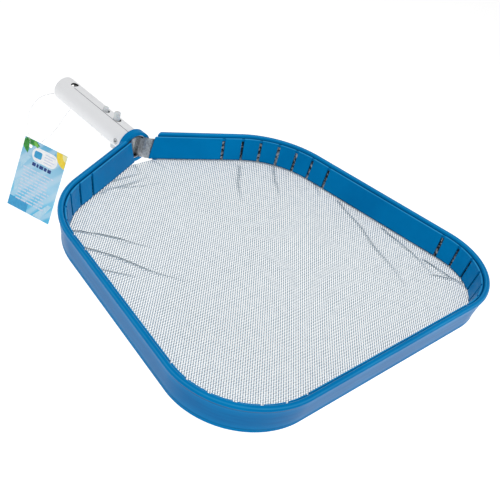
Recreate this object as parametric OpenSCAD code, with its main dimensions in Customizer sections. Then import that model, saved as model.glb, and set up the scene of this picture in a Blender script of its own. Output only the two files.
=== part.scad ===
// Leaf skimmer net: a flat aluminium band frame with a blue slit trim, a mesh and a pole handle.
// Millimetres. +Z up, the scoop edge faces -Y, the handle points to +Y, mirror plane at x = 0.
// The origin is on the handle tube's axis, at the centre of its open end, where the pole goes on.

/* [Outline] */
// Width across the front corners, before they are rounded
front_w = 400; // [360:5:430]
// Width across the shoulders, before they are rounded
shoulder_w = 315; // [290:5:340]
// Distance from the scoop edge to the shoulders
shoulder_y = 312; // [290:1:330]
// Distance from the scoop edge to the point where the shoulder lines meet
throat_y = 385; // [380:1:395]
// Outer radius of the two front corners
front_r = 78; // [60:1:90]
// Outer radius of the two shoulders
shoulder_r = 97; // [80:1:110]

/* [Rim trim] */
// Height of the rim above the surface it rests on
rim_h = 33; // [32:0.5:35]
// Radius of the round bead along the top
bead_r = 2.7; // [2.4:0.1:2.9]
// Thickness of the outer skirt and of the inner leg
leg_t = 1.8; // [1.4:0.1:2]
// Inward lean of the walls, in millimetres per millimetre of height
lean = 0.18; // [0.1:0.01:0.2]
// Height of the inner leg's foot above the surface
foot_z = 5; // [4.6:0.1:7]
// Width of one relief slit in the inner leg
slit_w = 3.5; // [1:0.25:4]
// Number of relief slits at each corner
slit_count = 7; // [3:2:7]
// Distance between neighbouring slits
slit_pitch = 23; // [22:0.5:24]

/* [Frame band] */
// Thickness of the aluminium band
band_t = 1.6; // [1:0.1:1.8]
// Height of the aluminium band
band_h = 22; // [18:0.5:22]

/* [Net] */
// Thickness of the solid that stands for the mesh
net_t = 0.8; // [0.5:0.1:0.8]
// Diameter of the hem cord round the mesh's edge
hem_d = 2.2; // [1.8:0.1:2.3]

/* [Handle] */
// Outer diameter of the handle tube, which slides into a pole of 1-1/4 inch
tube_d = 28.5; // [28:0.1:28.6]
// Wall of the handle tube
tube_wall = 2.2; // [2:0.1:2.4]
// Height of the tube's axis
tube_z = 15.25; // [15.25:0.25:17]
// Length of the handle tube
tube_len = 140; // [138:1:150]
// Outer diameter of the throat collar
collar_d = 36; // [34:0.5:38]

/* [Clip] */
// Diameter of a lock pin
lock_d = 6.2; // [5.5:0.1:6.5]
// Height of a lock pin above the tube
lock_rise = 3.7; // [2.5:0.1:3.8]
// Diameter of a press button
button_d = 7.2; // [6.5:0.1:7.6]
// Height of a press button above the tube
button_rise = 8.2; // [7:0.1:9]

/* [Tag] */
// Width of the hang tag
tag_w = 66; // [60:1:70]
// Length of the hang tag
tag_l = 93; // [80:1:100]
// Diameter of the tag's nylon loop
loop_d = 1; // [0.8:0.1:1.1]

/* [Hidden] */
$fn = 48;

// ---- outline: the right-hand half, counter-clockwise from the middle of the scoop edge ----
front_corner = [front_w / 2, 0];
shoulder = [shoulder_w / 2, shoulder_y];
throat = [0, throat_y];
function heading(from, to) = atan2(to[1] - from[1], to[0] - from[0]);
side_heading = heading(front_corner, shoulder);
shoulder_heading = heading(shoulder, throat);
function unit(a) = [cos(a), sin(a)];
function inward(a) = [-sin(a), cos(a)];
function arc_start(vertex, r, h_in, h_out) = vertex - r * tan((h_out - h_in) / 2) * unit(h_in);
function arc_centre(vertex, r, h_in, h_out) = arc_start(vertex, r, h_in, h_out) + r * inward(h_in);

// ---- rim section: x is the distance inward from the outline, y is the height ----
bead_z = rim_h - bead_r;
crown_z = bead_z - 2.3;
skirt_x = 1.2;
inner_x = skirt_x + 2 * leg_t + 3.6;
band_x = inner_x - leg_t - band_t - 0.2;
band_top = foot_z + band_h - 0.7;
band_bottom = foot_z - 0.7;
function leaned(x, z) = x + (crown_z - z) * lean;
trim_gap = 31;
end_skew = 1.2;

// ---- throat and tangs ----
tang_x = 4.4;
tang_line = tang_x + leaned(band_x + band_t / 2, tube_z);
tang_bend = 10;
tang_vertex = [tang_line, throat_y - tang_line * tan(180 - shoulder_heading)];
tang_end = throat_y + 21;
mouth_y = throat_y - 5;
bore_r = tube_d / 2 - tube_wall;
plug_y = throat_y + 1;
rivet_y = throat_y + 13;
rivet_r = 2;
flange_r = 3.4;
spot_x = tube_d / 2 - 0.6;

// ---- clip: places are distances from the pivot, towards the frame ----
pivot_y = throat_y + 100;
lock_u = 46;
button_u = 67;
arm_w = 9;
arm_t = 1.8;
arm_z = 9.8;
arm_end = 75;
fold_r = 4.8;
slot_extra = 2.2;
spare_y = throat_y + 116;
spare_d = 8.5;
flat_half = 4.2;
flat_z = tube_z + sqrt(pow(tube_d / 2, 2) - pow(flat_half, 2));
flat_start = mouth_y + 7;
flat_len = spare_y - mouth_y - 12;
seam_w = 0.7;
seam_h = 0.5;

// ---- tag and its loop ----
tag_t = 0.6;
tag_hole_at = [-13, 564, -85];
tag_turn = -71;
tag_tilt = 72;
tag_hole_d = 5.4;
tag_hole_x = 11;
tag_hole_in = 9;
lock_len = 5;
lock_bead_r = 1.5;
lock_bead_y = throat_y + 125;
loop_z = tube_z - bore_r + lock_bead_r;

// moves a child from the rim's place, under the middle of the scoop edge, to the tube's open end
module placed() {
    translate([0, -mouth_y - tube_len, -tube_z])
        children();
}

// ---------------------------------------------------------------- sweeps round the outline

// A station is [point, heading, true where a relief slit is open, skew]. A skew, at an end only, is how far
// a section point runs on along the outline for each millimetre that it lies inward.

// Stations of an arc that rounds a vertex. A negative radius turns right.
function arc_stations(vertex, r, h_in, h_out, steps) = [for (k = [0:steps])
    let (a = h_in + (h_out - h_in) * k / steps)
    [arc_centre(vertex, r, h_in, h_out) - r * inward(a), a, false]];

// the station at distance s from the middle of a rounded corner
function corner_station(vertex, r, h_in, h_out, s, open) =
    let (half_turn = (h_out - h_in) / 2,
        half = r * half_turn * PI / 180,
        side = s < 0 ? -1 : 1,
        over = max(abs(s) - half, 0),
        a = h_in + half_turn + side * half_turn * min(abs(s) / half, 1))
    [arc_centre(vertex, r, h_in, h_out) - r * inward(a) + side * over * unit(a), a, open];

// the stations at one slit, and one on each side of it
slit_steps = [[-slit_pitch / 3, false], [-slit_w / 2 - 0.05, false], [-slit_w / 2, true],
    [slit_w / 2, true], [slit_w / 2 + 0.05, false], [slit_pitch / 3, false]];

function slit_stations(vertex, r, h_in, h_out) = [for (k = [-3:3]) for (step = slit_steps)
    corner_station(vertex, r, h_in, h_out, k * slit_pitch + step[0], step[1] && 2 * abs(k) < slit_count)];

rim_half = concat(arc_stations(front_corner, front_r, 0, side_heading, 16),
    arc_stations(shoulder, shoulder_r, side_heading, shoulder_heading, 10));

slit_half = concat(slit_stations(front_corner, front_r, 0, side_heading),
    slit_stations(shoulder, shoulder_r, side_heading, shoulder_heading));

// a half outline that ends at a distance gap before the throat
function open_half(half, gap, skew = 0) = concat(half,
    [[throat - gap * unit(shoulder_heading), shoulder_heading, false, skew]]);

// the half outline with the band's end, which bends back into the handle
band_half = concat(rim_half, arc_stations(tang_vertex, -tang_bend, shoulder_heading, 90, 8),
    [[[tang_line, tang_end], 90, false]]);

function mirrored(half) = [for (i = [len(half) - 1:-1:0])
    [[-half[i][0][0], half[i][0][1]], 360 - half[i][1], half[i][2], -skew_of(half[i])]];

function skew_of(station) = is_undef(station[3]) ? 0 : station[3];

// one solid that carries a section round both halves; section points are [distance inward, height]
module sweep(half, section, slit_section = []) {
    path = concat(mirrored(half), half);
    m = len(section);
    n = len(path);
    points = [for (station = path) for (q = station[2] ? slit_section : section)
        let (p = station[0] + q[0] * (inward(station[1]) + skew_of(station) * unit(station[1])))
        [p[0], p[1], q[1]]];
    walls = [for (i = [0:n - 2]) for (k = [0:m - 1])
        [i * m + k, i * m + (k + 1) % m, (i + 1) * m + (k + 1) % m, (i + 1) * m + k]];
    caps = [[for (k = [m - 1:-1:0]) k], [for (k = [0:m - 1]) (n - 1) * m + k]];
    polyhedron(points, concat(walls, caps));
}

// points of the outline moved inward by d, closed across the throat
function inner_outline(d) = let (half = open_half(rim_half, 16))
    [for (station = concat(mirrored(half), half)) station[0] + d * inward(station[1])];

// points of an arc in a section
function round_points(x, z, r, from, to, steps) = [for (k = [0:steps])
    let (a = from + (to - from) * k / steps) [x + r * cos(a), z + r * sin(a)]];

// ---------------------------------------------------------------- rim and frame

under_z = crown_z - 1.4;
foot_r = 1.2;
top_r = 1.1;
slit_bite = 1.5;

// the rim's section; where a slit is open its inner leg is a stub and its rolled edge is cut back
function trim_section(leg_end, inner, edge_r) = concat(
    round_points(leaned(skirt_x + leg_t, foot_r) - foot_r, foot_r, foot_r, 180, 360, 4),
    [[leaned(skirt_x + leg_t, under_z), under_z],
        [leaned(inner_x - leg_t, under_z), under_z],
        [leaned(inner_x - leg_t, leg_end), leg_end],
        [leaned(inner, leg_end), leg_end]],
    round_points(inner - edge_r, crown_z + 1, edge_r, 0, 160, 4),
    [[inner_x - 2 * top_r - 0.4, crown_z + 0.7]],
    round_points(bead_r, bead_z, bead_r, -25, 225, 10),
    [[skirt_x, crown_z]]);

module rim_trim() {
    color("#1878b8")
        placed()
            sweep(open_half(slit_half, trim_gap, end_skew), trim_section(foot_z, inner_x, top_r),
                trim_section(under_z - 0.4, inner_x - slit_bite, top_r - slit_bite / 2));
}

function band_section() = [[leaned(band_x, band_top), band_top],
    [leaned(band_x, band_bottom), band_bottom],
    [leaned(band_x + band_t, band_bottom), band_bottom],
    [leaned(band_x + band_t, band_top), band_top]];

// everything outside the bore, from the tube's mouth on
module outside_bore() {
    difference() {
        translate([-40, mouth_y - 2, -20]) cube([80, 60, 80]);
        bore(mouth_y - 3, 62, bore_r - 0.4);
    }
}

module bore(y, length, r) {
    translate([0, y, tube_z])
        rotate([-90, 0, 0])
            cylinder(r = r, h = length);
}

module cross_hole(x, length, r) {
    translate([x, rivet_y, tube_z])
        rotate([0, 90, 0])
            cylinder(r = r, h = length, $fn = 32);
}

module frame_band() {
    color("#b9bcbc")
        placed()
            difference() {
                sweep(band_half, band_section());
                outside_bore();
                cross_hole(-30, 60, rivet_r + 0.05);
            }
}

// ---------------------------------------------------------------- net

hem_gap = 0.35;
net_edge = leaned(skirt_x + leg_t, 2.6) + hem_gap + hem_d + 0.1;
net_z = foot_z - 1.6;

module net() {
    color("#dfe4e6")
        placed()
            translate([0, 0, net_z])
                linear_extrude(net_t)
                    intersection() {
                        polygon(inner_outline(net_edge));
                        translate([-300, -10]) square([600, throat_y - 9]);
                    }
}

module net_hem() {
    color("#eef0f0")
        placed()
            sweep(open_half(rim_half, 26),
                round_points(net_edge - hem_d / 2 - 0.1, hem_d / 2 + 1.5, hem_d / 2, 0, 330, 11));
}

// ---------------------------------------------------------------- handle

module ring(y, length, r_out, r_in) {
    difference() {
        bore(y, length, r_out);
        bore(y - 1, length + 2, r_in);
    }
}

module throat_collar() {
    color("#1672ae")
        placed()
            ring(mouth_y - 1.2, 8.2, collar_d / 2, tube_d / 2);
}

// a slot through the tube's wall for a pin of diameter d, longer towards the frame
module pin_slot(u, d) {
    r = d / 2 + 0.35;
    translate([0, pivot_y - u, tube_z + 6]) {
        cylinder(r = r, h = 12, $fn = 32);
        translate([0, -slot_extra, 0]) cylinder(r = r, h = 12, $fn = 32);
        translate([-r, -slot_extra, 0]) cube([2 * r, slot_extra, 12]);
    }
}

module pin_slots() {
    pin_slot(lock_u, lock_d);
    pin_slot(button_u, button_d);
}

// mirrors a child about the tube's own level plane
module below() {
    translate([0, 0, 2 * tube_z])
        mirror([0, 0, 1])
            children();
}

module handle_tube() {
    color("#f2f3f4")
        placed()
            difference() {
                ring(mouth_y, tube_len, tube_d / 2, bore_r);
                translate([-flat_half - 4, flat_start, flat_z]) cube([2 * flat_half + 8, flat_len, 5]);
                translate([-flat_half - seam_w / 2, flat_start, flat_z - seam_h]) cube([seam_w, flat_len, 5]);
                pin_slots();
                below() pin_slots();
                translate([0, spare_y, -5]) cylinder(d = spare_d, h = 50);
                cross_hole(-30, 60, rivet_r + 0.05);
                cross_hole(spot_x, 5, flange_r + 0.1);
                cross_hole(-spot_x - 5, 5, flange_r + 0.1);
            }
}

// the room for the right-hand tang in the plug
module tang_slot() {
    translate([tang_line, tang_end + 0.1, 0])
        rotate([90, 0, 0])
            mirror([1, 0, 0])
                linear_extrude(40)
                    polygon([[leaned(band_x - 0.1, 40), 40], [leaned(band_x + band_t + 0.1, 40), 40],
                        [leaned(band_x + band_t + 0.1, -5), -5], [leaned(band_x - 0.1, -5), -5]]);
}

module handle_plug() {
    color("#e4e6e8")
        placed()
            difference() {
                bore(plug_y, tang_end + 2.5 - plug_y, bore_r);
                tang_slot();
                mirror([1, 0, 0]) tang_slot();
                cross_hole(-30, 60, rivet_r + 0.05);
            }
}

module rivet() {
    difference() {
        union() {
            cross_hole(spot_x, 0.9, flange_r);
            cross_hole(1.5, spot_x - 1.5, rivet_r);
        }
        cross_hole(spot_x - 4, 6, 1.1);
    }
}

module handle_rivets() {
    color("#9aa0a4")
        placed() {
            rivet();
            mirror([1, 0, 0]) rivet();
        }
}

// ---------------------------------------------------------------- clip

// side view of an arm in (distance from the pivot, height above the axis)
module arm_side() {
    polygon([[0.4, fold_r], [22, arm_z - 1.6], [34, arm_z], [arm_end, arm_z], [arm_end, arm_z - arm_t],
        [35, arm_z - arm_t], [23, arm_z - arm_t - 1.6], [0.4, fold_r - arm_t]]);
}

// puts clip coordinates in place: x is the distance towards the frame, y the height above the axis
module clip_place(width) {
    translate([-width / 2, pivot_y, tube_z])
        rotate([90, 0, -90])
            mirror([0, 0, 1])
                linear_extrude(width)
                    children();
}

module clip_arm() {
    difference() {
        clip_place(arm_w) arm_side();
        pin_shaft(lock_u, arm_z - arm_t - 1, 5, lock_d / 2 - 1);
        pin_shaft(button_u, arm_z - arm_t - 1, 5, button_d / 2 - 1);
    }
}

module upper_clip_arm() {
    color("#e9ebec") placed() clip_arm();
}

module lower_clip_arm() {
    color("#e9ebec") placed() below() clip_arm();
}

// a round shaft on the upper arm, from height z above the tube's axis
module pin_shaft(u, z, h, r) {
    translate([0, pivot_y - u, tube_z + z])
        cylinder(r = r, h = h, $fn = 32);
}

// a pin: its neck is pressed into the arm, its shaft goes out through the tube
module clip_pin(u, d, rise) {
    top = tube_d / 2 + rise;
    pin_shaft(u, arm_z - arm_t, arm_t, d / 2 - 1);
    pin_shaft(u, arm_z, top - 1 - arm_z, d / 2);
    translate([0, pivot_y - u, tube_z + top - 1])
        rotate_extrude($fn = 32)
            union() {
                square([d / 2 - 1, 1]);
                intersection() {
                    translate([d / 2 - 1, 0]) circle(1, $fn = 32);
                    square([d / 2, 1]);
                }
            }
}

module upper_lock_pin() {
    color("#d5d9db") placed() clip_pin(lock_u, lock_d, lock_rise);
}

module upper_press_button() {
    color("#dfe2e4") placed() clip_pin(button_u, button_d, button_rise);
}

module lower_lock_pin() {
    color("#d5d9db") placed() below() clip_pin(lock_u, lock_d, lock_rise);
}

module lower_press_button() {
    color("#dfe2e4") placed() below() clip_pin(button_u, button_d, button_rise);
}

// the sprung fold at the clip's tail, with a cross bar that beds on the bore's two sides
module clip_fold() {
    color("#e9ebec")
        placed()
            intersection() {
                union() {
                    clip_place(arm_w)
                        difference() {
                            circle(fold_r);
                            circle(fold_r - arm_t);
                            translate([0, -10]) square(20);
                        }
                    clip_place(30)
                        translate([-fold_r + 0.6, -1.6])
                            square([3.2, 3.2]);
                }
                bore(pivot_y - 20, 40, bore_r);
            }
}

// ---------------------------------------------------------------- tag

module tag() {
    color("#8ecbe8")
        placed()
            translate(tag_hole_at)
                rotate([tag_tilt, 0, tag_turn])
                    difference() {
                        translate([-tag_hole_x, tag_hole_in - tag_l, -tag_t / 2]) cube([tag_w, tag_l, tag_t]);
                        translate([0, 0, -1]) cylinder(d = tag_hole_d, h = 2, $fn = 32);
                    }
}

module loop_lock() {
    color("#e8ecee")
        placed()
            translate([0, lock_bead_y - lock_len / 2, loop_z])
                rotate([-90, 0, 0])
                    cylinder(r = lock_bead_r, h = lock_len, $fn = 32);
}

// route of the loop: out of the open end, down through the tag, and up through the spare hole
loop_route = [
    [0, 512.5, 4.7], [-0.5, 516, 4.9], [-2.5, 520.5, 6], [-5.5, 527, 5.5], [-8, 535, 2], [-10, 545, -4.5],
    [-11.5, 555, -13.5], [-12.8, 564, -25.5], [-13.8, 570, -39], [-14.6, 571.5, -53], [-15, 569, -66],
    [-14.1, 565.7, -75.4], [-13.9, 564.3, -81.2], [-11.8, 563.1, -83.7], [-8.9, 561, -83.6],
    [-6.3, 557.3, -80.6], [-4.8, 549, -70.5], [-3.4, 539, -59], [-2.4, 529, -44.5], [-1.4, 519.5, -28],
    [-0.5, 511, -13], [0, 505, -4.5], [0, 502.6, -1.2], [0, 501.9, 1.8], [0, 503.6, 4.2], [0, 507.5, 4.7]];

// Catmull-Rom curve through the route
function route_at(i) = loop_route[min(max(i, 0), len(loop_route) - 1)];
function spline(p, q, r, s, t) = 0.5 * (2 * q + (r - p) * t + (2 * p - 5 * q + 4 * r - s) * t * t
    + (3 * q - p - 3 * r + s) * t * t * t);
steps_of = [for (i = [0:len(loop_route) - 2]) max(2, round(norm(route_at(i + 1) - route_at(i)) / 4.6))];
curve = concat([for (i = [0:len(loop_route) - 2]) for (k = [0:steps_of[i] - 1])
    spline(route_at(i - 1), route_at(i), route_at(i + 1), route_at(i + 2), k / steps_of[i])],
    [loop_route[len(loop_route) - 1]]);
function direction(v) = v / norm(v);
function along(i) = direction(curve[min(i + 1, len(curve) - 1)] - curve[max(i - 1, 0)]);
function frame_x(i) = i == 0
    ? direction(cross(along(0), [0, 0, 1]))
    : let (previous = frame_x(i - 1)) direction(previous - (previous * along(i)) * along(i));

module tag_loop() {
    sides = 8;
    n = len(curve);
    points = [for (i = [0:n - 1]) let (u = frame_x(i), v = cross(along(i), u)) for (k = [0:sides - 1])
        curve[i] + loop_d / 2 * (cos(360 * k / sides) * u + sin(360 * k / sides) * v)];
    walls = [for (i = [0:n - 2]) for (k = [0:sides - 1])
        [i * sides + k, i * sides + (k + 1) % sides, (i + 1) * sides + (k + 1) % sides, (i + 1) * sides + k]];
    caps = [[for (k = [sides - 1:-1:0]) k], [for (k = [0:sides - 1]) (n - 1) * sides + k]];
    color("#f4f6f7")
        placed()
            polyhedron(points, concat(walls, caps));
}

rim_trim();
frame_band();
net();
net_hem();
throat_collar();
handle_tube();
handle_plug();
handle_rivets();
clip_fold();
upper_clip_arm();
upper_lock_pin();
upper_press_button();
lower_clip_arm();
lower_lock_pin();
lower_press_button();
tag();
tag_loop();
loop_lock();
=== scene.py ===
import math

import bpy
import numpy as np
from mathutils import Matrix, Vector
from mathutils.geometry import delaunay_2d_cdt


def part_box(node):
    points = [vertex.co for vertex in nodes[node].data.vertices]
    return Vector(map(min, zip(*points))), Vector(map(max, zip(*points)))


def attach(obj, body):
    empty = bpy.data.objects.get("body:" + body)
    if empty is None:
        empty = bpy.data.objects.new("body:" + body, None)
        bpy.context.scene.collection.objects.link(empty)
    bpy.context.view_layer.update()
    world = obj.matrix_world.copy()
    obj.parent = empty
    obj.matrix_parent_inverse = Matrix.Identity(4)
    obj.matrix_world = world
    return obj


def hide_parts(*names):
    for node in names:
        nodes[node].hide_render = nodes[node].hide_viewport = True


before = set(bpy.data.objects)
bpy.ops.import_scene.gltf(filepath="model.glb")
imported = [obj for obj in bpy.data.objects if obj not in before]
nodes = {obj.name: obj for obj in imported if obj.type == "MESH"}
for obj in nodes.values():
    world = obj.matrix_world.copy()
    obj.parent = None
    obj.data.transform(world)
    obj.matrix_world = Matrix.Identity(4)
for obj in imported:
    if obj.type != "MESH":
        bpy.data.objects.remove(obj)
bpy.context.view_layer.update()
rng = np.random.default_rng(7)

MM = 0.001
SHIFT = np.array([0.0, -520.0, -15.25])  # from the rim's place to the tube's open end, in millimetres


def metres(points):
    """Points in the rim's own millimetres, as metres in the shared frame."""
    return (np.asarray(points, float).reshape(-1, 3) + SHIFT) * MM


# ---------------------------------------------------------------- camera and light

CAMERA_PLACE = (-0.53029, -0.76763, 0.48281)
CAMERA_ANGLES = (-50.56, 35.61, 14.24)  # azimuth, elevation and roll, in degrees
CAMERA_LENS = 62.27
WORLD_STRENGTH = 0.47
FLOOR_R, FLOOR_SIDES, FLOOR_Y, FLOOR_Z = 6.0, 48, -0.3, -0.42


def make_camera():
    data = bpy.data.cameras.new("view")
    data.sensor_width = 36.0
    data.lens = CAMERA_LENS
    data.clip_end = 20
    camera = bpy.data.objects.new("view", data)
    bpy.context.scene.collection.objects.link(camera)
    azimuth, elevation, roll = (math.radians(a) for a in CAMERA_ANGLES)
    level = math.cos(elevation)
    back = Vector((math.sin(azimuth) * level, -math.cos(azimuth) * level, math.sin(elevation)))
    right = Vector((math.cos(azimuth), math.sin(azimuth), 0))
    up = back.cross(right)
    x = math.cos(roll) * right + math.sin(roll) * up
    y = -math.sin(roll) * right + math.cos(roll) * up
    turn = Matrix((x, y, back)).transposed().to_4x4()
    camera.matrix_world = Matrix.Translation(CAMERA_PLACE) @ turn
    bpy.context.scene.camera = camera


def area_light(name, place, target, size, power):
    data = bpy.data.lights.new(name, "AREA")
    data.shape = "RECTANGLE"
    data.size, data.size_y = size
    data.energy = power
    lamp = bpy.data.objects.new(name, data)
    bpy.context.scene.collection.objects.link(lamp)
    lamp.location = place
    lamp.rotation_euler = (Vector(target) - Vector(place)).to_track_quat("-Z", "Y").to_euler()


def make_studio():
    world = bpy.data.worlds.new("studio")
    bpy.context.scene.world = world
    world.use_nodes = True
    background = world.node_tree.nodes["Background"]
    background.inputs["Color"].default_value = (1, 1, 1, 1)
    background.inputs["Strength"].default_value = WORLD_STRENGTH
    bpy.context.scene.view_settings.view_transform = "Standard"
    area_light("key", (-0.9, -0.9, 1.5), (0, -0.3, 0), (1.1, 1.1), 10)
    area_light("top", (0.5, 0.1, 1.6), (0, -0.3, 0), (1.6, 1.0), 5.5)
    area_light("side", (0.9, -1.2, 0.35), (0.05, -0.4, 0), (0.9, 0.5), 3)
    floor = bpy.data.meshes.new("floor")
    turns = [2 * math.pi * k / FLOOR_SIDES for k in range(FLOOR_SIDES)]
    ring = [(FLOOR_R * math.cos(a), FLOOR_R * math.sin(a) + FLOOR_Y, FLOOR_Z) for a in turns]
    floor.from_pydata(ring, [], [list(range(FLOOR_SIDES))])
    o = bpy.data.objects.new("floor", floor)
    bpy.context.scene.collection.objects.link(o)
    m = bpy.data.materials.new("floor")
    m.use_nodes = True
    shader = m.node_tree.nodes["Principled BSDF"]
    shader.inputs["Base Color"].default_value = (0.93, 0.93, 0.93, 1)
    shader.inputs["Roughness"].default_value = 0.9
    shader.inputs["Emission Color"].default_value = (1, 1, 1, 1)
    shader.inputs["Emission Strength"].default_value = 0.5
    floor.materials.append(m)


# ---------------------------------------------------------------- node helpers

class Graph:
    """A material's node tree with short calls for the nodes used here."""

    def __init__(self, name):
        self.material = bpy.data.materials.new(name)
        self.material.use_nodes = True
        self.tree = self.material.node_tree
        self.shader = self.tree.nodes["Principled BSDF"]

    def add(self, kind, inputs=(), **settings):
        n = self.tree.nodes.new(kind)
        for k, v in settings.items():
            setattr(n, k, v)
        for key, value in dict(inputs).items():
            self.put(n.inputs[key], value)
        return n

    def put(self, socket, value):
        if isinstance(value, bpy.types.NodeSocket):
            self.tree.links.new(value, socket)
        else:
            socket.default_value = value

    def math(self, operation, a, b=0.0, clamp=False):
        n = self.add("ShaderNodeMath", operation=operation, use_clamp=clamp)
        self.put(n.inputs[0], a)
        self.put(n.inputs[1], b)
        return n.outputs[0]

    def hypot(self, a, b):
        return self.math("SQRT", self.math("ADD", self.math("MULTIPLY", a, a), self.math("MULTIPLY", b, b)))

    def place(self):
        return self.add("ShaderNodeTexCoord").outputs["Object"]

    def uv(self):
        return self.add("ShaderNodeTexCoord").outputs["UV"]

    def scaled(self, vector, scale, turn=(0, 0, 0)):
        n = self.add("ShaderNodeMapping", {"Vector": vector, "Scale": scale, "Rotation": turn})
        return n.outputs[0]

    def noise(self, vector, scale, detail, rough=0.55):
        n = self.add("ShaderNodeTexNoise", {"Vector": vector, "Scale": scale, "Detail": detail, "Roughness": rough})
        return n.outputs["Fac"]

    def ramp(self, factor, stops):
        n = self.add("ShaderNodeValToRGB", {"Fac": factor})
        elements = n.color_ramp.elements
        while len(elements) < len(stops):
            elements.new(0.5)
        for e, (p, c) in zip(elements, stops):
            e.position = p
            e.color = (*c, 1)
        return n.outputs["Color"]

    def span(self, value, low, high, to_low, to_high):
        n = self.add("ShaderNodeMapRange", {"Value": value, "From Min": low, "From Max": high,
                                            "To Min": to_low, "To Max": to_high})
        return n.outputs[0]

    def mix(self, factor, a, b):
        """A colour between a and b. The node's colour sockets are inputs 6 and 7 and output 2."""
        n = self.add("ShaderNodeMix", data_type="RGBA")
        self.put(n.inputs["Factor"], factor)
        for socket, colour in ((n.inputs[6], a), (n.inputs[7], b)):
            self.put(socket, colour if isinstance(colour, bpy.types.NodeSocket) else (*colour, 1))
        return n.outputs[2]

    def bump(self, height, distance, strength, under=None):
        n = self.add("ShaderNodeBump", {"Height": height, "Distance": distance, "Strength": strength})
        if under is not None:
            self.put(n.inputs["Normal"], under)
        return n.outputs[0]

    def finish(self, **sockets):
        names = {"base": "Base Color", "rough": "Roughness", "metal": "Metallic", "normal": "Normal",
                 "alpha": "Alpha", "specular": "Specular IOR Level", "coat": "Coat Weight",
                 "coat_rough": "Coat Roughness", "through": "Transmission Weight", "ior": "IOR",
                 "sub": "Subsurface Weight", "sub_scale": "Subsurface Scale"}
        for k, v in sockets.items():
            self.put(self.shader.inputs[names[k]], v)
        return self.material


def srgb(text):
    """A colour given as six hexadecimal digits, as linear red, green and blue."""
    c = [int(text[i:i + 2], 16) / 255 for i in (0, 2, 4)]
    return tuple(v / 12.92 if v <= 0.04045 else ((v + 0.055) / 1.055) ** 2.4 for v in c)


# ---------------------------------------------------------------- materials

def blue_plastic(name, bands=()):
    """Satin extruded vinyl: fine draw lines along the strip and a soft mottle, with painted shade in the grooves
    and painted highlights on the high edges laid on as bands. bands are (distance round the section in metres, half
    width, colour, amount)."""
    g = Graph(name)
    where = g.place()
    big = g.noise(where, 14, 4)
    grain = g.noise(where, 900, 2)
    scuff = g.noise(g.scaled(where, (1, 1, 2.5)), 130, 5, 0.7)
    if bands:
        draw = g.noise(g.scaled(g.uv(), (6, 1500, 1)), 1.0, 2)
    else:
        draw = g.noise(g.scaled(where, (900, 12, 900)), 1.0, 2)
    base = g.mix(g.span(big, 0.35, 0.65, 0, 1), srgb("0075b4"), srgb("0080c0"))
    wear = g.math("MULTIPLY", g.span(scuff, 0.66, 0.8, 0, 1), 0.08)
    base = g.mix(wear, base, srgb("4fa9d6"))
    if bands:
        around = g.add("ShaderNodeSeparateXYZ", {"Vector": g.uv()}).outputs[1]
        patchy = g.span(g.noise(g.scaled(g.uv(), (30, 300, 1)), 1.0, 4), 0.3, 0.7, 0.55, 1.1)
        # each band paints light or shade into the colour: dark bands are painted shade, pale bands painted
        # highlights, a little patchy
        for middle, half, colour, amount in bands:
            off = g.math("ABSOLUTE", g.math("SUBTRACT", around, middle))
            mask = g.span(off, 0.4 * half, half, 1, 0)
            painted_band = g.math("MULTIPLY", g.math("MULTIPLY", mask, patchy, clamp=True), amount)
            base = g.mix(painted_band, base, srgb(colour))
    uneven = g.math("ADD", g.math("MULTIPLY", grain, 0.4), g.math("MULTIPLY", draw, 0.6))
    rough = g.span(uneven, 0.3, 0.7, 0.27, 0.4)
    normal = g.bump(grain, 0.00004, 0.5)
    normal = g.bump(draw, 0.00006, 0.55, normal)
    g.shader.inputs["Specular Tint"].default_value = (0.12, 0.62, 1.0, 1)
    return g.finish(base=base, rough=rough, normal=normal, specular=0.1, ior=1.36)


# the tube's features in metres; each R is a distance from the tube's axis, apart from the spare hole's own radius
SEAM_X, SEAM_FLOOR_R, SEAM_LIP_R = -0.0042, 0.01395, 0.0142
BORE_DARK_R, BORE_LIP_R = 0.0131, 0.0134
SPARE_HOLE_Y, SPARE_HOLE_R = -0.019, 0.00432


def white_tube():
    """White plastic tube: a very fine orange peel, a few rub marks along its length and grey handling marks."""
    g = Graph("handle_white")
    where = g.place()
    peel = g.noise(where, 520, 2)
    rub = g.noise(g.scaled(where, (420, 9, 420)), 1.0, 4, 0.65)
    marks = g.noise(where, 60, 5, 0.7)
    base = g.mix(g.span(marks, 0.6, 0.8, 0, 0.5), srgb("f1f2f4"), srgb("d4d6da"))
    base = g.mix(g.span(rub, 0.66, 0.8, 0, 0.35), base, srgb("c3c6cb"))
    x, y, z = g.add("ShaderNodeSeparateXYZ", {"Vector": where}).outputs
    from_axis = g.hypot(x, z)
    # the bore is dark, and the walls of its holes carry painted shade, near black in the spare hole; the open end
    # face is greyer; painted shade darkens the seam
    base = g.mix(g.span(y, -0.0004, -0.0002, 0, 1), base, srgb("aab0b7"))
    base = g.mix(g.span(from_axis, BORE_DARK_R, BORE_LIP_R, 1, 0), base, srgb("24272b"))
    from_hole = g.hypot(x, g.math("SUBTRACT", y, SPARE_HOLE_Y))
    # painted shade: the spare hole's walls near black
    base = g.mix(g.span(from_hole, SPARE_HOLE_R, SPARE_HOLE_R + 0.0002, 1, 0), base, srgb("121417"))
    # painted shade along the seam's floor and lips
    beside = g.math("ABSOLUTE", g.math("SUBTRACT", x, SEAM_X))
    groove = g.span(from_axis, SEAM_FLOOR_R, SEAM_LIP_R, 1, 0)
    seam = g.math("MULTIPLY", g.span(beside, 0.0003, 0.0006, 1, 0), groove)
    base = g.mix(g.math("MULTIPLY", seam, 0.8), base, srgb("5b5f66"))
    rough = g.span(rub, 0.3, 0.7, 0.3, 0.46)
    normal = g.bump(rub, 0.00003, 0.5, g.bump(peel, 0.00005, 0.5))
    return g.finish(base=base, rough=rough, normal=normal, specular=0.5)


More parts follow.
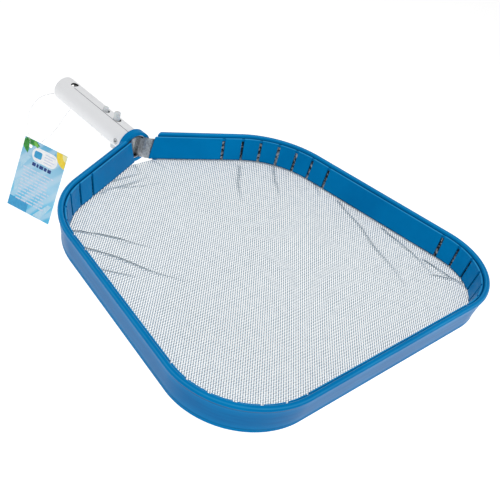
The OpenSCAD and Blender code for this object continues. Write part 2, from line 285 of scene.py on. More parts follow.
def moulded(name, colour, dark):
    """Injection-moulded nylon or acetal: slightly milky, with spark-eroded grain."""
    g = Graph(name)
    where = g.place()
    grain = g.noise(where, 1300, 2)
    soft = g.noise(where, 90, 4)
    base = g.mix(g.span(soft, 0.35, 0.7, 0, 1), colour, dark)
    rough = g.span(grain, 0.3, 0.7, 0.36, 0.52)
    return g.finish(base=base, rough=rough, normal=g.bump(grain, 0.00004, 0.6), sub=0.08, sub_scale=0.002)


def rolled_metal(name, colour, stretch=(8, 8, 900), shaded_before=None):
    """Rolled aluminium strip: lines along the strip, small dents and dull oxide. Where it is shut inside the trim,
    before shaded_before along Y, it carries painted shade, with bare bright spots left."""
    g = Graph(name)
    where = g.place()
    lines = g.noise(g.scaled(where, stretch), 1.0, 3)
    dents = g.noise(where, 170, 4, 0.6)
    oxide = g.noise(where, 420, 5, 0.7)
    base = g.mix(g.span(oxide, 0.4, 0.7, 0, 1), colour, tuple(0.42 * c for c in colour))
    scratch = g.noise(g.scaled(where, (90, 90, 1400)), 1.0, 3, 0.6)
    base = g.mix(g.span(scratch, 0.58, 0.66, 0, 0.7), base, tuple(0.25 * c for c in colour))
    if shaded_before is not None:
        y = g.add("ShaderNodeSeparateXYZ", {"Vector": where}).outputs[1]
        # painted shade on the metal shut inside the trim, broken by bare bright spots
        shut = g.span(y, shaded_before - 0.004, shaded_before, 1, 0)
        spots = g.span(g.noise(where, 300, 3), 0.47, 0.6, 0.98, 0.15)
        base = g.mix(g.math("MULTIPLY", shut, spots), base, srgb("16222b"))
    uneven = g.math("ADD", g.math("MULTIPLY", lines, 0.5), g.math("MULTIPLY", oxide, 0.5))
    rough = g.span(uneven, 0.3, 0.7, 0.2, 0.5)
    normal = g.bump(lines, 0.00005, 0.5, g.bump(dents, 0.0009, 0.7))
    return g.finish(base=base, rough=rough, metal=1.0, normal=normal)


WEAVE_PITCH, THREAD = 0.00205, 0.00034  # metres


def net_weave():
    """Plain-woven monofilament, drawn by the sheet's own flat coordinates in metres, threads on the bias.
    Holes are open through the surface's alpha; the threads go over and under each other in the bump, with painted
    shade where they dip and a painted highlight on their crowns; painted shade darkens the creases."""
    g = Graph("net_weave")
    flat = g.scaled(g.uv(), (1 / WEAVE_PITCH, 1 / WEAVE_PITCH, 1), (0, 0, math.radians(45)))
    x, y, _ = g.add("ShaderNodeSeparateXYZ", {"Vector": flat}).outputs
    crease = g.add("ShaderNodeAttribute", attribute_name="crease").outputs["Fac"]
    wander = g.noise(g.uv(), 130, 3)
    spread = g.math("ADD", g.math("MULTIPLY", crease, 1.5), g.span(wander, 0.3, 0.7, 0.92, 1.12))
    width = g.math("MULTIPLY", spread, THREAD / WEAVE_PITCH)
    heights, masks = [], []
    for mine, other, thick, start in ((x, y, 1.45, 0.0), (y, x, 0.8, 1.0)):
        off = g.math("ABSOLUTE", g.math("SUBTRACT", g.math("FRACT", mine), 0.5))
        near = g.math("DIVIDE", off, g.math("MULTIPLY", width, thick))
        masks.append(g.math("LESS_THAN", near, 1.0))
        dome = g.math("SQRT", g.math("SUBTRACT", 1.0, g.math("MULTIPLY", near, near), clamp=True))
        beat = g.math("ADD", g.math("ADD", other, g.math("FLOOR", mine)), start)
        wave = g.math("COSINE", g.math("MULTIPLY", beat, math.pi))
        heights.append(g.math("ADD", dome, g.math("MULTIPLY", wave, 0.7)))
    mask = g.math("MAXIMUM", masks[0], masks[1])
    height = g.math("MAXIMUM", g.math("MULTIPLY", heights[0], masks[0]), g.math("MULTIPLY", heights[1], masks[1]))
    tone = g.noise(g.uv(), 22, 3)
    # painted shade where the threads dip under, painted highlight on their crowns
    base = g.mix(g.span(height, 0.0, 1.5, 0, 1), srgb("6a7c8c"), srgb("cfe0ea"))
    base = g.mix(g.span(tone, 0.35, 0.7, 0, 0.35), base, srgb("bccbd5"))
    # painted shade along the creases
    base = g.mix(g.math("MULTIPLY", crease, 0.85), base, srgb("59646d"))
    return g.finish(base=base, rough=0.42, alpha=mask, normal=g.bump(height, 0.00016, 0.8), specular=0.5)


def hem_wrap():
    """The mesh's edge rolled round a cord: the same threads, wound and stitched."""
    g = Graph("hem_wrap")
    along, around, _ = g.add("ShaderNodeSeparateXYZ", {"Vector": g.uv()}).outputs
    wind = g.math("FRACT", g.math("ADD", g.math("MULTIPLY", along, 480), g.math("MULTIPLY", around, 3)))
    ridge = g.math("SINE", g.math("MULTIPLY", wind, math.pi))
    cross = g.math("SINE", g.math("MULTIPLY", g.math("FRACT", g.math("MULTIPLY", around, 6)), math.pi))
    height = g.math("MAXIMUM", ridge, cross)
    # painted shade in the valleys between the windings, painted highlight on their ridges
    base = g.mix(height, srgb("9aa3a9"), srgb("eef1f3"))
    base = g.mix(g.span(g.noise(g.place(), 80, 4), 0.55, 0.75, 0, 0.4), base, srgb("b9b3a4"))
    return g.finish(base=base, rough=0.6, normal=g.bump(height, 0.0002, 0.8))


def nylon_line():
    """Clear nylon line, faintly cloudy."""
    g = Graph("nylon_line")
    cloud = g.noise(g.place(), 300, 3)
    base = g.mix(g.span(cloud, 0.3, 0.7, 0, 1), srgb("f4f6f8"), srgb("e2e6ea"))
    return g.finish(base=base, rough=0.22, through=0.85, ior=1.35, alpha=0.75, normal=g.bump(cloud, 0.00005, 0.4))


def card_print(corner, across, up, width, height):
    """Coated card printed with a pool-water gradient: paler diagonal beams, deeper towards the foot.
    corner is its lower left corner, across and up its own directions, all in metres."""
    g = Graph("card_print")
    off = g.add("ShaderNodeVectorMath", {0: g.place(), 1: tuple(corner)}, operation="SUBTRACT").outputs[0]
    share = [g.add("ShaderNodeVectorMath", {0: off, 1: tuple(v / n)}, operation="DOT_PRODUCT").outputs["Value"]
             for v, n in ((across, width), (up, height))]
    card = g.add("ShaderNodeCombineXYZ", {"X": share[0], "Y": share[1]}).outputs[0]
    fall = g.ramp(share[1], [(0.0, srgb("46bde9")), (0.2, srgb("68caf0")), (0.45, srgb("a8dbf6")),
                             (0.75, srgb("8fcbe9")), (1.0, srgb("5db4dc"))])
    beams = g.add("ShaderNodeTexWave", {"Vector": g.scaled(card, (1, 1.4, 1), (0, 0, 0.7)), "Scale": 1.3,
                                        "Distortion": 1.6, "Detail": 1.0, "Detail Scale": 1.2}).outputs["Fac"]
    base = g.mix(g.math("MULTIPLY", g.span(beams, 0.35, 0.9, 0, 1), 0.55), fall, srgb("c9e4f6"))
    dots = g.noise(g.place(), 1500, 2)
    base = g.mix(g.span(dots, 0.55, 0.8, 0, 0.12), base, srgb("ffffff"))
    rub = g.noise(g.place(), 120, 5, 0.7)
    return g.finish(base=base, rough=g.span(rub, 0.3, 0.7, 0.28, 0.4), coat=0.25, coat_rough=0.2,
                    normal=g.bump(dots, 0.00002, 0.4))


def ink(name, colour, second):
    """Glossy printing ink, slightly uneven between two close colours."""
    g = Graph(name)
    tone = g.noise(g.place(), 260, 3)
    base = g.mix(g.span(tone, 0.35, 0.65, 0, 1), srgb(colour), srgb(second))
    grain = g.noise(g.place(), 1600, 2)
    return g.finish(base=base, rough=0.34, coat=0.2, coat_rough=0.2, normal=g.bump(grain, 0.00002, 0.3))


def dress(node, material):
    """Gives a CAD node its material."""
    for holder in nodes[node].material_slots:
        holder.material = material


# ---------------------------------------------------------------- mesh helpers

def new_object(name, verts, faces, material, smooth=True, sharp=None):
    """A mesh object on the body skimmer. sharp is the angle in degrees above which an edge stays sharp."""
    mesh = bpy.data.meshes.new(name)
    mesh.from_pydata([tuple(v) for v in verts], [], [tuple(int(i) for i in f) for f in faces])
    mesh.validate()
    mesh.update()
    if smooth:
        mesh.shade_smooth()
        if sharp:
            mesh.set_sharp_from_angle(angle=math.radians(sharp))
    mesh.materials.append(material)
    o = bpy.data.objects.new(name, mesh)
    bpy.context.scene.collection.objects.link(o)
    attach(o, "skimmer")
    return o


def set_uv(o, per_vertex):
    """Gives a mesh one UV pair for each vertex."""
    mesh = o.data
    layer = mesh.uv_layers.new(name="flat")
    index = np.zeros(len(mesh.loops), int)
    mesh.loops.foreach_get("vertex_index", index)
    layer.data.foreach_set("uv", np.asarray(per_vertex, float)[index].ravel())


def tube(path, radius, sides):
    """Vertices and faces of a closed round tube along a path that starts level, with a radius for each point."""
    n = len(path)
    ahead = np.gradient(path, axis=0)
    ahead /= np.linalg.norm(ahead, axis=1)[:, None]
    u = np.cross(ahead[0], (0, 0, 1.0))
    verts = []
    for i in range(n):
        u = u - (u @ ahead[i]) * ahead[i]
        u /= np.linalg.norm(u)
        v = np.cross(ahead[i], u)
        for k in range(sides):
            a = 2 * math.pi * k / sides
            verts.append(path[i] + radius[i] * (math.cos(a) * u + math.sin(a) * v))
    faces = [(i * sides + k, i * sides + (k + 1) % sides, (i + 1) * sides + (k + 1) % sides, (i + 1) * sides + k)
             for i in range(n - 1) for k in range(sides)]
    faces += [tuple(range(sides - 1, -1, -1)), tuple((n - 1) * sides + k for k in range(sides))]
    return verts, faces


# ---------------------------------------------------------------- outline, as in the CAD model, in millimetres

FRONT, SHOULDER, THROAT = np.array([200.0, 0]), np.array([157.5, 312.0]), np.array([0, 385.0])
FRONT_R, SHOULDER_R = 78.0, 97.0
CROWN_Z, LEAN = 28.0, 0.18
ARC_MARGIN = 4


def leaned(x, z):
    """The trim leans: a point at x on the crown's level lies further in, the lower it is."""
    return x + (CROWN_Z - z) * LEAN


class Outline:
    """The right half of the rim's outer line, by distance along it: from the middle of the scoop edge to the
    throat, in straight lines joined by an arc at each corner."""

    def __init__(self):
        corners = [(FRONT, FRONT_R), (SHOULDER, SHOULDER_R)]
        points = [np.array([0.0, 0.0]), FRONT, SHOULDER, THROAT]
        self.pieces, self.middles = [], []
        at, s = points[0], 0.0
        for i, (corner, r) in enumerate(corners):
            h_in = math.atan2(*(corner - points[i])[::-1])
            h_out = math.atan2(*(points[i + 2] - corner)[::-1])
            cut = r * math.tan((h_out - h_in) / 2)
            start = corner - cut * np.array([math.cos(h_in), math.sin(h_in)])
            run = np.linalg.norm(start - at)
            self.pieces.append(("line", s, run, at, h_in, 0))
            s += run
            turn = r * (h_out - h_in)
            centre = start + r * np.array([-math.sin(h_in), math.cos(h_in)])
            self.pieces.append(("arc", s, turn, centre, h_in, r))
            self.middles.append(s + turn / 2)
            s += turn
            at = corner + cut * np.array([math.cos(h_out), math.sin(h_out)])
        run = np.linalg.norm(THROAT - at)
        self.pieces.append(("line", s, run, at, h_out, 0))
        self.length = s + run

    def at(self, s):
        """The point and heading at distance s."""
        for kind, s0, run, p, h, r in self.pieces:
            if s <= s0 + run or s0 + run >= self.length - 1e-9:
                break
        if kind == "line":
            return p + (s - s0) * np.array([math.cos(h), math.sin(h)]), h
        a = h + (s - s0) / r
        return p - r * np.array([-math.sin(a), math.cos(a)]), a

    def is_arc(self, s):
        """Whether s lies on an arc or within ARC_MARGIN of one."""
        return any(k == "arc" and s0 - ARC_MARGIN <= s <= s0 + run + ARC_MARGIN for k, s0, run, *_ in self.pieces)


OUTLINE = Outline()


def run_length(points):
    """Distance from the first point to each point, along them."""
    return np.concatenate([[0], np.cumsum(np.linalg.norm(np.diff(points, axis=0), axis=1))])


def section_sweep(steps, section, end_skew=0.0):
    """Carries a section round both halves. steps gives distances along the half; section(s) gives its points
    [distance inward, height]. Returns vertices in metres, faces, and a UV for each vertex in metres."""
    rows, uvs = [], []
    around = run_length(section(0.0))
    order = [(-1, s) for s in reversed(steps)] + [(1, s) for s in steps if s > 0]
    for side, s in order:
        p, h = OUTLINE.at(s)
        inward = np.array([-math.sin(h), math.cos(h)])
        ahead = np.array([math.cos(h), math.sin(h)])
        skew = end_skew if s >= steps[-1] - 1e-9 else 0.0
        q = section(s)
        xy = p + q[:, :1] * (inward + skew * ahead)
        row = np.column_stack([xy[:, 0] * side, xy[:, 1], q[:, 1]])
        rows.append(row)
        uvs.append(np.column_stack([np.full(len(q), side * s), around]) * MM)
    n, m = len(rows), len(rows[0])
    faces = [(i * m + k, i * m + (k + 1) % m, (i + 1) * m + (k + 1) % m, (i + 1) * m + k)
             for i in range(n - 1) for k in range(m)]
    faces += [tuple(range(m - 1, -1, -1)), tuple((n - 1) * m + k for k in range(m))]
    return metres(np.concatenate(rows)), faces, np.concatenate(uvs)


def arc_points(x, z, r, start, stop, steps):
    """Points on an arc round x, z, between two angles in degrees."""
    a = np.radians(np.linspace(start, stop, steps + 1))
    return np.column_stack([x + r * np.cos(a), z + r * np.sin(a)])


# ---------------------------------------------------------------- rim

RIM_GAP, RIM_SKEW = 31.0, 1.2
SLIT_W, SLIT_PITCH, SLIT_BITE = 3.5, 23.0, 1.5
SLIT_CLEAR, SLIT_WALL = 0.4, 0.05  # no other station this near a slit; a slit's wall spans this length
ARC_STEP, LINE_STEP = 1.9, 6.0
LEG_T, SKIRT_X, BEAD_R, BEAD_Z, CHANNEL_W = 1.8, 1.2, 2.7, 30.3, 3.6
INNER_X = SKIRT_X + 2 * LEG_T + CHANNEL_W
UNDER_Z, FOOT_Z, FOOT_R, TOP_R = CROWN_Z - 1.4, 5.0, 1.2, 1.1
SKIRT_TOP_Z, SKIRT_LOW_Z = CROWN_Z - 0.6, 3.2
BEAD_FOOT = (SKIRT_X - 0.25, CROWN_Z + 0.3)


def trim_section(leg_end, inner, edge_r, chamfer=0.4):
    """The trim's section: skirt, channel, inner leg down to leg_end with its face at inner, and bead."""
    def rail(x, z0, z1, count):
        z = np.linspace(z0, z1, count)
        return np.column_stack([leaned(x, z), z])

    leg_x = INNER_X - LEG_T
    foot_x = leaned(SKIRT_X + LEG_T, FOOT_R) - FOOT_R
    rise = np.linspace(CROWN_Z - 0.4, leg_end + 0.5, 8)
    return np.concatenate([
        arc_points(foot_x, FOOT_R, FOOT_R, 150, 360, 12),
        rail(SKIRT_X + LEG_T, 3.0, UNDER_Z, 6),
        [[leaned(leg_x, UNDER_Z), UNDER_Z],
         [leaned(leg_x, leg_end + chamfer), leg_end + chamfer],
         [leaned(leg_x + chamfer, leg_end), leg_end],
         [leaned(inner - chamfer, leg_end), leg_end]],
        np.column_stack([leaned(inner, rise[::-1]), rise[::-1]]),
        arc_points(inner - edge_r, CROWN_Z + 1, edge_r, 0, 160, 10),
        [[INNER_X - 2 * TOP_R - 0.25, CROWN_Z + 0.95], [INNER_X - 2 * TOP_R - 0.55, CROWN_Z + 0.7]],
        arc_points(BEAD_R, BEAD_Z, BEAD_R, -25, 215, 26),
        [BEAD_FOOT],
        rail(SKIRT_X, SKIRT_TOP_Z, SKIRT_LOW_Z, 9),
    ])


def section_bands():
    """Painted shade in the grooves, under the bead and at the feet, painted highlights along the high edges, and
    the skirt darker overall, as blue_plastic's bands.
    """
    q = trim_section(FOOT_Z, INNER_X, TOP_R)
    run = run_length(q) * MM

    def near(x, z):
        return float(run[np.argmin(np.hypot(q[:, 0] - x, q[:, 1] - z))])

    skirt_top, skirt_foot = near(SKIRT_X, SKIRT_TOP_Z), near(SKIRT_X, SKIRT_LOW_Z)
    # dark bands: painted shade; pale bands: painted highlights; the first band darkens the whole skirt
    return [((skirt_top + skirt_foot) / 2, abs(skirt_top - skirt_foot) / 2, "00619e", 0.75),
            (skirt_foot, 0.0014, "004672", 0.6),
            (near(INNER_X - 2 * TOP_R - 0.4, CROWN_Z + 0.8), 0.0012, "00395f", 0.9),
            (near(INNER_X - 0.5, CROWN_Z + 1.9), 0.0008, "4db2e4", 0.55),
            (near(BEAD_R + 1.6, BEAD_Z + 2.2), 0.0007, "49aee0", 0.35),
            (near(BEAD_R - 1.9, BEAD_Z + 1.9), 0.0009, "49aee0", 0.3),
            (near(*BEAD_FOOT), 0.0016, "00365c", 0.9),
            (near(leaned(INNER_X, FOOT_Z + 0.5), FOOT_Z + 0.5), 0.0011, "0b3350", 0.6)]


def make_rim(material):
    slits = [m + k * SLIT_PITCH for m in OUTLINE.middles for k in range(-3, 4)]
    end = OUTLINE.length - RIM_GAP
    half = SLIT_W / 2
    steps = {0.0, end}
    s = 0.0
    while s < end - 1:
        s += ARC_STEP if OUTLINE.is_arc(s) else LINE_STEP
        if all(abs(s - q) > half + SLIT_CLEAR for q in slits) and s < end - 1:
            steps.add(s)
    for q in slits:
        steps |= {q - half - SLIT_WALL, q - half, q, q + half, q + half + SLIT_WALL}
    whole = trim_section(FOOT_Z, INNER_X, TOP_R)
    cut = trim_section(UNDER_Z - 0.4, INNER_X - SLIT_BITE, TOP_R - SLIT_BITE / 2, chamfer=0.1)

    def section(s):
        return cut if any(abs(s - q) <= half + 0.01 for q in slits) else whole

    verts, faces, uv = section_sweep(sorted(steps), section, RIM_SKEW)
    o = new_object("rim_strip", verts, faces, material, sharp=32)
    set_uv(o, uv)
    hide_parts("rim_trim")


# ---------------------------------------------------------------- net

NET_Z = -0.0113
NET_STEP, NET_EDGE_STEP = 0.0023, 0.003
NET_FREE = 0.012  # the folds reach their full height this far from the edge
HEM_SIDES, HEM_STEP, HEM_GAP = 12, 1.5, 26  # a point each HEM_STEP mm, up to HEM_GAP mm from the throat
HEM_Z, HEM_IN = 2.6, 0.35 + 1.1  # mm: the level at which the skirt's inner face is taken, and the way in from it


def net_outline():
    """The net's edge, read from its CAD solid: the points of its top face, in order round its middle."""
    co = np.array([v.co for v in nodes["net"].data.vertices])
    top = co[co[:, 2] > co[:, 2].max() - 1e-5][:, :2]
    top = np.unique(np.round(top, 6), axis=0)
    middle = np.array([0, (top[:, 1].min() + top[:, 1].max()) / 2])
    return top[np.argsort(np.arctan2(*(top - middle).T[::-1]))]


# folds pressed into the mesh: start, end, height, half width, and the strength of the painted shade along the
# crease
FOLDS = [((-0.1400, -0.2200), (-0.0760, -0.2850), 0.0024, 0.0011, 1.0),
         ((-0.1480, -0.2400), (-0.0840, -0.3400), 0.0026, 0.0012, 1.0),
         ((-0.1514, -0.2775), (-0.1180, -0.3160), 0.0016, 0.0012, 0.6),
         ((-0.0790, -0.1865), (-0.0060, -0.1795), 0.0013, 0.0009, 0.55),
         ((-0.0560, -0.1735), (-0.0120, -0.1700), 0.0012, 0.0009, 0.5),
         ((-0.0760, -0.1817), (-0.0020, -0.1960), 0.0012, 0.0010, 0.45),
         ((0.1560, -0.3050), (0.1050, -0.4580), 0.0020, 0.0015, 0.6),
         ((0.1640, -0.3650), (0.1500, -0.4500), 0.0022, 0.0013, 0.8),
         ((0.1440, -0.4480), (0.1760, -0.4800), 0.0022, 0.0014, 0.7),
         ((0.1600, -0.4250), (0.1640, -0.4920), 0.0020, 0.0012, 0.8),
         ((0.0980, -0.2030), (0.0480, -0.2640), 0.0018, 0.0012, 0.6),
         ((0.1380, -0.2200), (0.0930, -0.2760), 0.0018, 0.0012, 0.6),
         ((0.1730, -0.2460), (0.1380, -0.2950), 0.0018, 0.0012, 0.6),
         ((0.0120, -0.1500), (0.0180, -0.1760), 0.0012, 0.0012, 0.4),
         ((-0.0100, -0.1490), (-0.0140, -0.1750), 0.0012, 0.0012, 0.4)]


def make_net(material, hem_material):
    edge = net_outline()
    x = np.arange(edge[:, 0].min(), edge[:, 0].max(), NET_STEP)
    y = np.arange(edge[:, 1].min(), edge[:, 1].max(), NET_STEP)
    gx, gy = np.meshgrid(x, y)
    inside_points = np.column_stack([gx.ravel(), gy.ravel()])
    nxt = np.roll(edge, -1, axis=0)
    side = nxt - edge
    side /= np.linalg.norm(side, axis=1)[:, None]

    def edge_distance(points):
        """Distance inward from the nearest side of the convex outline."""
        return np.min([(points - e) @ np.array([-d[1], d[0]]) for e, d in zip(edge, side)], axis=0)

    inside_points = inside_points[edge_distance(inside_points) > NET_STEP * 0.55]
    rim_points = []
    for a, b in zip(edge, nxt):
        count = max(1, int(np.linalg.norm(b - a) / NET_EDGE_STEP))
        rim_points += [a + (b - a) * k / count for k in range(count)]
    flat = np.concatenate([rim_points, inside_points])
    out = delaunay_2d_cdt([Vector(p) for p in flat], [], [list(range(len(rim_points)))], 1, 1e-7)
    flat = np.array(out[0])
    faces = out[2]
    depth = edge_distance(flat)
    free = np.clip(depth / NET_FREE, 0, 1)
    z = np.zeros(len(flat))
    fold = np.zeros(len(flat))
    for start, stop, height, width, dark in FOLDS:
        a, b = np.array(start), np.array(stop)
        d = (b - a) / np.linalg.norm(b - a)
        along = (flat - a) @ d
        across = (flat - a) @ np.array([-d[1], d[0]])
        across = across + 0.0012 * np.sin(along * 90 + a[0] * 40)
        reach = np.linalg.norm(b - a)
        fade = np.clip(along / 0.006, 0, 1) * np.clip((reach - along) / (0.45 * reach), 0, 1)
        z += height * fade * np.exp(-(across / (1.6 * width)) ** 2)
        z -= 0.45 * height * fade * np.exp(-((across - 3.2 * width) / (2.4 * width)) ** 2)
        fold = np.maximum(fold, dark * fade * np.exp(-(across / width) ** 2))
    # soft waves: radians per metre, direction, phase and height in millimetres
    waves = [(rng.uniform(25, 70), rng.uniform(0, math.pi), rng.uniform(0, 6.28), rng.uniform(0.08, 0.26))
             for _ in range(12)]
    soft = sum(a * MM * np.sin(k * (flat @ np.array([math.cos(t), math.sin(t)])) + p) for k, t, p, a in waves)
    sag = -0.0016 * np.clip(depth / 0.11, 0, 1) ** 1.3
    z = NET_Z + free * (z + soft) + sag
    edge_lift = -0.0004 * (1 - free)
    verts = np.column_stack([flat, z + edge_lift])
    o = new_object("net_sheet", verts, faces, material, sharp=None)
    set_uv(o, flat)
    o.data.attributes.new("crease", "FLOAT", "POINT").data.foreach_set("value", fold.astype(np.float32))
    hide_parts("net")
    # hem: the net's edge rolled round a cord, just outside the sheet
    low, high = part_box("net_hem")
    hem_z, hem_r = (low.z + high.z) / 2, (high.z - low.z) / 2
    half = []
    for s in np.arange(0, OUTLINE.length - HEM_GAP, HEM_STEP):
        p, h = OUTLINE.at(s)
        q = p + (leaned(SKIRT_X + LEG_T, HEM_Z) + HEM_IN) * np.array([-math.sin(h), math.cos(h)])
        half.append((q[0], q[1]))
    centre = [(-a, b) for a, b in reversed(half)] + half[1:]
    path = np.array([[*(metres([[a, b, 0]])[0][:2]), hem_z] for a, b in centre])
    t = np.arange(len(path))
    radius = hem_r * (0.95 + 0.05 * np.sin(t * 1.9) * np.sin(t * 0.37))
    verts, faces = tube(path, radius, HEM_SIDES)
    hem = new_object("net_hem_roll", verts, faces, hem_material, sharp=None)
    around = np.tile(np.arange(HEM_SIDES) / HEM_SIDES, len(path))
    set_uv(hem, np.column_stack([np.repeat(run_length(path), HEM_SIDES), around]))
    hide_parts("net_hem")


# ---------------------------------------------------------------- tag and its loop

# the loop's points, as in the CAD model, in millimetres
LOOP_ROUTE = [[0, 512.5, 4.7], [-0.5, 516, 4.9], [-2.5, 520.5, 6], [-5.5, 527, 5.5], [-8, 535, 2],
              [-10, 545, -4.5], [-11.5, 555, -13.5], [-12.8, 564, -25.5], [-13.8, 570, -39],
              [-14.6, 571.5, -53], [-15, 569, -66], [-14.1, 565.7, -75.4], [-13.9, 564.3, -81.2],
              [-11.8, 563.1, -83.7], [-8.9, 561, -83.6], [-6.3, 557.3, -80.6], [-4.8, 549, -70.5],
              [-3.4, 539, -59], [-2.4, 529, -44.5], [-1.4, 519.5, -28], [-0.5, 511, -13], [0, 505, -4.5],
              [0, 502.6, -1.2], [0, 501.9, 1.8], [0, 503.6, 4.2], [0, 507.5, 4.7]]
TAG_HOLE = metres([[-13, 564, -85]])[0]
TAG_TURN, TAG_TILT = math.radians(-71), math.radians(72)
TAG_W = np.array([math.cos(TAG_TURN), math.sin(TAG_TURN), 0])
TAG_FLAT = np.array([-math.sin(TAG_TURN), math.cos(TAG_TURN), 0])
TAG_U = math.cos(TAG_TILT) * TAG_FLAT + math.sin(TAG_TILT) * np.array([0, 0, 1.0])
TAG_N = np.cross(TAG_W, TAG_U)
CARD_W, CARD_L, HOLE_X, HOLE_IN = 66.0, 93.0, 11.0, 9.0
CARD_EDGE = 0.15  # print stops this far inside the card's edge
INK_LOW, INK_HIGH, INK_STEP = 0.29, 0.33, 0.03  # a layer of ink, above the card's middle, and the rise to the next


def catmull(points, per):
    """A smooth curve through the points, with per points for each stretch."""
    p = np.asarray(points, float)
    p = np.concatenate([p[:1], p, p[-1:]])
    out = []
    for i in range(1, len(p) - 2):
        a, b, c, d = p[i - 1:i + 3]
        for t in np.arange(per) / per:
            square, cube = (2 * a - 5 * b + 4 * c - d) * t ** 2, (3 * b - a - 3 * c + d) * t ** 3
            out.append(0.5 * (2 * b + (c - a) * t + square + cube))
    out.append(p[-2])
    return np.array(out)


def make_loop(material):
    path = metres(catmull(LOOP_ROUTE, 6))
    data = bpy.data.curves.new("tag_line", "CURVE")
    data.dimensions = "3D"
    spline = data.splines.new("POLY")
    spline.points.add(len(path) - 1)
    for point, p in zip(spline.points, path):
        point.co = (*p, 1)
    data.bevel_depth = 0.0005
    data.bevel_resolution = 4
    data.use_fill_caps = True
    data.materials.append(material)
    o = bpy.data.objects.new("tag_line", data)
    bpy.context.scene.collection.objects.link(o)
    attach(o, "skimmer")
    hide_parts("tag_loop")
    return o, float(run_length(path)[-1])


def card_place(a, b, lift):
    """From card coordinates, a to the right, b downwards from the top left corner and lift above the card's middle,
    in millimetres."""
    a, b = np.asarray(a, float), np.asarray(b, float)
    w, u = a - HOLE_X, HOLE_IN - b
    return TAG_HOLE + MM * (w[..., None] * TAG_W + u[..., None] * TAG_U + lift * TAG_N)


def inside(point, outline):
    """Whether a point lies in an outline, by the sides that a line to its right crosses."""
    outline = np.asarray(outline)
    nxt = np.roll(outline, -1, axis=0)
    crosses = (outline[:, 1] > point[1]) != (nxt[:, 1] > point[1])
    with np.errstate(divide="ignore", invalid="ignore"):
        rise = nxt[:, 1] - outline[:, 1]
        hits = outline[:, 0] + (point[1] - outline[:, 1]) * (nxt[:, 0] - outline[:, 0]) / rise
    return int(np.sum(crosses & (hits > point[0]))) % 2 == 1


def plate(outline, low, high):
    """A closed plate with an outline in card coordinates, from low to high above the card's middle.
    Known fault: card coordinates run downwards, so its two flat faces wind inwards and its sides outwards."""
    k = len(outline)
    edges = [(i, (i + 1) % k) for i in range(k)]
    out = delaunay_2d_cdt([Vector(p) for p in outline], edges, [], 0, 1e-6)
    flat = np.array(out[0])
    tris = [list(f) for f in out[2] if inside(flat[list(f)].mean(0), outline)]
    n = len(flat)
    sides = [(f[i], f[(i + 1) % 3]) for f in tris for i in range(3)]
    rim = [(a, b) for a, b in sides if (b, a) not in sides]
    faces = [tuple(reversed(f)) for f in tris] + [tuple(i + n for i in f) for f in tris]
    faces += [(a, b, b + n, a + n)[::-1] for a, b in rim]
    return np.concatenate([card_place(flat[:, 0], flat[:, 1], lift) for lift in (low, high)]), faces


def rounded(x0, y0, x1, y1, r, steps=6):
    """A rectangle with rounded corners."""
    pts = []
    for cx, cy, a0 in ((x1 - r, y0 + r, -90), (x1 - r, y1 - r, 0), (x0 + r, y1 - r, 90), (x0 + r, y0 + r, 180)):
        for k in range(steps + 1):
            a = math.radians(a0 + 90 * k / steps)
            pts.append((cx + r * math.cos(a), cy + r * math.sin(a)))
    return pts


def disc(cx, cy, r, steps):
    a = np.radians(np.linspace(0, 360, steps, endpoint=False))
    return [(cx + r * math.cos(t), cy + r * math.sin(t)) for t in a]


def leaf(x, y, length, width, angle):
    """A leaf's outline from its stem at x, y, pointing along an angle in degrees."""
    t = np.linspace(0, 1, 10)
    half = width * np.sin(math.pi * t ** 0.8) * 0.5
    c, s = math.cos(math.radians(angle)), math.sin(math.radians(angle))
    upper = [(length * a, h) for a, h in zip(t, half)]
    lower = [(length * a, -h) for a, h in zip(t[1:-1], half[1:-1])][::-1]
    return [(x + c * a - s * b, y + s * a + c * b) for a, b in upper + lower]


def clip_to_card(outline):
    """The part of a convex or gently curved outline that lies on the card."""
    for axis, limit, keep in ((0, CARD_EDGE, 1), (0, CARD_W - CARD_EDGE, -1),
                              (1, CARD_EDGE, 1), (1, CARD_L - CARD_EDGE, -1)):
        out = []
        for p, q in zip(outline, outline[1:] + outline[:1]):
            dp, dq = keep * (p[axis] - limit), keep * (q[axis] - limit)
            if dp >= 0:
                out.append(p)
            if (dp >= 0) != (dq >= 0):
                t = dp / (dp - dq)
                out.append((p[0] + t * (q[0] - p[0]), p[1] + t * (q[1] - p[1])))
        outline = out
    return outline


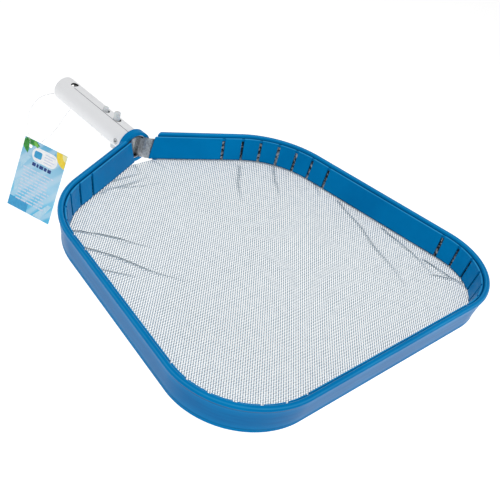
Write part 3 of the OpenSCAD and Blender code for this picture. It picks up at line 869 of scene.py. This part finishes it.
def make_tag():
    """The CAD card with its printed gradient, and on its front the print: flat areas of ink, with no lettering."""
    corner = card_place(0, CARD_L, 0)
    paper = card_print(corner, TAG_W, TAG_U, CARD_W * MM, CARD_L * MM)
    dress("tag", paper)
    inks, verts, faces, which = [], [], [], []

    def printed(outlines, material, level=0):
        inks.append(material)
        for outline in outlines:
            v, f = plate(outline, INK_LOW + INK_STEP * level, INK_HIGH + INK_STEP * level)
            start = sum(len(x) for x in verts)
            faces.extend(tuple(i + start for i in g) for g in f)
            which.extend([len(inks) - 1] * len(f))
            verts.append(v)

    beam = ink("print_pale_beam", "bfe2f5", "a9d8f1")
    deep = ink("print_water", "38a9dc", "2b9ad0")
    white = ink("print_white", "ffffff", "f1f5fa")
    pale = ink("print_pale_line", "dfe2f3", "cbdcf1")
    navy = ink("print_navy", "17428f", "0e3173")
    green = ink("print_leaf", "3fa63c", "1e7a2e")
    lime = ink("print_leaf_light", "86cc55", "5cb246")
    yellow = ink("print_yellow", "fae04a", "f3d32d")
    cream = ink("print_cream", "f6f3c4", "efeaa8")
    printed([clip_to_card(rounded(-2, 80, 30, 96, 1.5))], deep)
    printed([[(2, 60), (14, 48), (22, 48), (4, 74)], [(40, 92), (58, 70), (64, 70), (52, 92)],
             [(3, 32), (11, 22), (16, 22), (5, 40)]], beam)
    printed([clip_to_card(leaf(1, 1, 24, 9, 8)), clip_to_card(leaf(0.5, 2, 19, 9, 62))], green)
    printed([clip_to_card(leaf(14.5, 0.6, 11, 5, 40))], lime, 1)
    printed([clip_to_card(disc(68, 0, 18, 48))], yellow)
    printed([clip_to_card(disc(68, 0, 9, 40))], cream, 1)
    printed([rounded(16, 6.5, 55, 24.5, 8.9, 10)], white, 1)
    printed([rounded(19.5, 11, 31, 20, 2, 4)], deep, 2)
    badge_lines = [rounded(35, 10 + 3.4 * k, 51 - (k % 2) * 3, 11.3 + 3.4 * k, 0.6, 3) for k in range(4)]
    printed(badge_lines, pale, 2)
    bars, at = [], 20.0
    for width in (5.5, 3.2, 6.2, 4.2, 5.4):
        bars.append(rounded(at, 26.5, at + width, 31, 0.8, 3))
        at += width + 1.2
    printed(bars, navy, 1)
    lines = []
    for k in range(11):
        y = 36 + 4.3 * k
        at = 8.5 + (k % 3) * 0.8
        stop = 56 - (k * 7 % 5) * 1.6
        while at < stop - 3:
            width = min(4 + (k * 5 + int(at)) % 7, stop - at)
            lines.append(rounded(at, y, at + width, y + 1.7, 0.5, 2))
            at += width + 1.1
    printed(lines, pale, 1)
    o = new_object("tag_print", np.concatenate(verts), faces, inks[0], smooth=False)
    for material in inks[1:]:
        o.data.materials.append(material)
    o.data.polygons.foreach_set("material_index", which)


# ---------------------------------------------------------------- everything

make_camera()
loop, loop_length = make_loop(nylon_line())
make_tag()
make_studio()

rim_blue = blue_plastic("rim_blue", section_bands())
collar_blue = blue_plastic("collar_blue")
tube_white = white_tube()
arm_white = moulded("clip_white", srgb("eef0f1"), srgb("e2e5e8"))
pin_grey = moulded("pin_grey", srgb("dfe3e5"), srgb("cfd5d8"))
band_metal = rolled_metal("band_metal", (0.62, 0.64, 0.66), shaded_before=-0.157)
rivet_metal = rolled_metal("rivet_metal", (0.55, 0.57, 0.60), (60, 300, 300))
plug_white = moulded("plug_white", srgb("e4e6e8"), srgb("d6d9dc"))
crimp = moulded("crimp_white", srgb("eceff1"), srgb("dde1e4"))

make_rim(rim_blue)
make_net(net_weave(), hem_wrap())

CAD_MATERIALS = {
    "frame_band": band_metal, "throat_collar": collar_blue, "handle_tube": tube_white,
    "handle_plug": plug_white, "handle_rivets": rivet_metal, "loop_lock": crimp,
    "clip_fold": arm_white, "upper_clip_arm": arm_white, "lower_clip_arm": arm_white,
    "upper_lock_pin": pin_grey, "lower_lock_pin": pin_grey,
    "upper_press_button": pin_grey, "lower_press_button": pin_grey}
for name, material in CAD_MATERIALS.items():
    dress(name, material)
